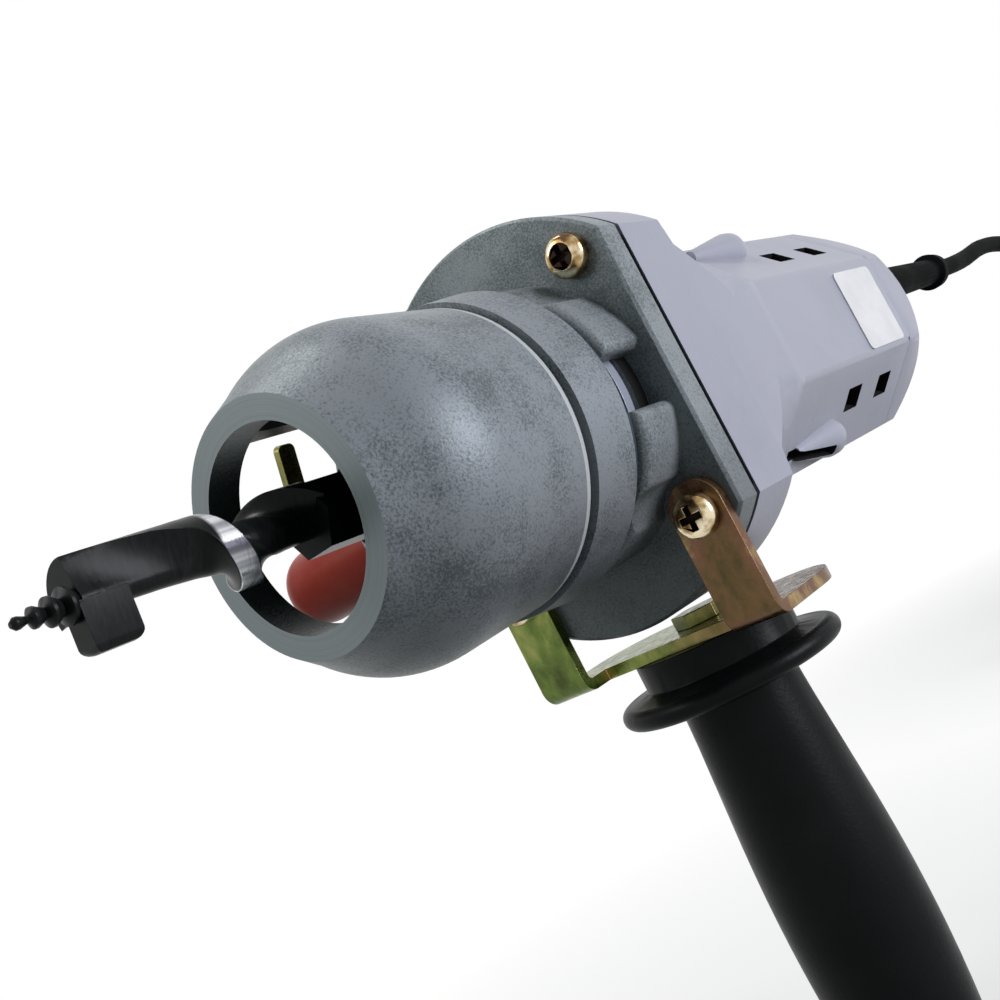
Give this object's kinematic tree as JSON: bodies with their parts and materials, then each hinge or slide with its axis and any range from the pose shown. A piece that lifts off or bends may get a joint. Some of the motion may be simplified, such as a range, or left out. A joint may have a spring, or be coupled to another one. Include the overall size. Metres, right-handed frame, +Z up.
{
  "type": "power drill",
  "caption": "Corded wood-boring drill with a cast depth-stop bell round its chuck and auger, an in-line motor, a bracketed handle, a side grip and a tied cord.",
  "frame": {"origin": "crossing of the black handle's axis and the spindle line", "axes": "+X forward along the spindle to the bit, +Y to the tool's left, +Z up, away from the handle"},
  "size_m": [0.6953, 0.1831, 0.2298],
  "materials": {
    "cast_aluminium": "tumbled casting",
    "grey_paint": "satin paint",
    "yellow_zinc": "yellow passivated zinc",
    "black_handle": "satin",
    "red_grip": "satin",
    "black_steel": "black oxide",
    "bright_steel": "ground",
    "bronze": "sintered",
    "copper": "varnished wire",
    "lamination": "stacked sheet",
    "carbon": "pressed carbon",
    "black_rubber": "matte",
    "black_plastic": "matte",
    "plug_brass": "plated"
  },
  "bodies": {
    "tool": {"bell": "cast_aluminium", "chip_deflector": "yellow_zinc", "deflector_screw": "yellow_zinc", "bell_set_screw": "black_steel", "front_cover": "cast_aluminium", "gear_gasket": "black_rubber", "motor_housing": "grey_paint", "end_cap": "grey_paint", "flange_screws": "yellow_zinc", "end_cap_screws": "yellow_zinc", "handle_bracket": "yellow_zinc", "handle_bolt": "yellow_zinc", "handle_grip": "black_handle", "side_grip": "red_grip", "side_stud": "yellow_zinc", "spindle_bearing": "bright_steel", "spindle_bush": "bronze", "gear_plate": "cast_aluminium", "layshaft_bushes": "bronze", "motor_bearings": "bright_steel", "field_core": "lamination", "field_coils": "copper", "brush_holders": "plug_brass", "brushes": "carbon", "switch_body": "black_plastic", "cord_relief": "black_rubber", "cord": "black_rubber", "cord_coil": "black_rubber", "cord_tie": "black_plastic", "plug": "black_rubber", "plug_pins": "plug_brass"},
    "armature": {"armature_shaft": "bright_steel", "armature_core": "lamination", "armature_winding": "copper", "commutator": "copper", "fan": "black_plastic"},
    "layshaft": {"layshaft": "bright_steel", "layshaft_gear": "bright_steel"},
    "spindle": {"spindle": "bright_steel", "spindle_gear": "bright_steel", "chuck_body": "black_steel", "drill_bit": "black_steel"},
    "sleeve": {"chuck_sleeve": "black_steel"},
    "jaw_1": {"chuck_jaw_1": "black_steel"},
    "jaw_2": {"chuck_jaw_2": "black_steel"},
    "jaw_3": {"chuck_jaw_3": "black_steel"},
    "slider": {"switch_slider": "black_plastic"}
  },
  "joints": [
    {"name": "armature_turn", "type": "hinge", "parent": "tool", "child": "armature", "pos_m": [0, 0, 0], "axis": [1, 0, 0], "continuous": true},
    {"name": "layshaft_turn", "type": "hinge", "parent": "tool", "child": "layshaft", "pos_m": [0, 0, 0.02], "axis": [1, 0, 0], "continuous": true},
    {"name": "spindle_turn", "type": "hinge", "parent": "tool", "child": "spindle", "pos_m": [0, 0, 0], "axis": [1, 0, 0], "continuous": true},
    {"name": "sleeve_turn", "type": "hinge", "parent": "spindle", "child": "sleeve", "pos_m": [0.06, 0, 0], "axis": [1, 0, 0], "range_deg": [0, 1080]},
    {"name": "jaw_1_slide", "type": "slide", "parent": "spindle", "child": "jaw_1", "axis": [-0.9781, 0.2079, 0], "range_m": [0, 0.00382]},
    {"name": "jaw_2_slide", "type": "slide", "parent": "spindle", "child": "jaw_2", "axis": [-0.9781, -0.104, 0.1801], "range_m": [0, 0.00382]},
    {"name": "jaw_3_slide", "type": "slide", "parent": "spindle", "child": "jaw_3", "axis": [-0.9781, -0.104, -0.1801], "range_m": [0, 0.00382]},
    {"name": "switch_slide", "type": "slide", "parent": "tool", "child": "slider", "axis": [1, 0, 0], "range_m": [0, 0.008]}
  ],
  "couplings": [
    {"joint": "layshaft_turn", "follows": "armature_turn", "ratio": -0.53846},
    {"joint": "spindle_turn", "follows": "armature_turn", "ratio": 0.35897},
    {"joint": "jaw_1_slide", "follows": "sleeve_turn", "m_per_rad": 0.00020213},
    {"joint": "jaw_2_slide", "follows": "sleeve_turn", "m_per_rad": 0.00020213},
    {"joint": "jaw_3_slide", "follows": "sleeve_turn", "m_per_rad": 0.00020213}
  ]
}
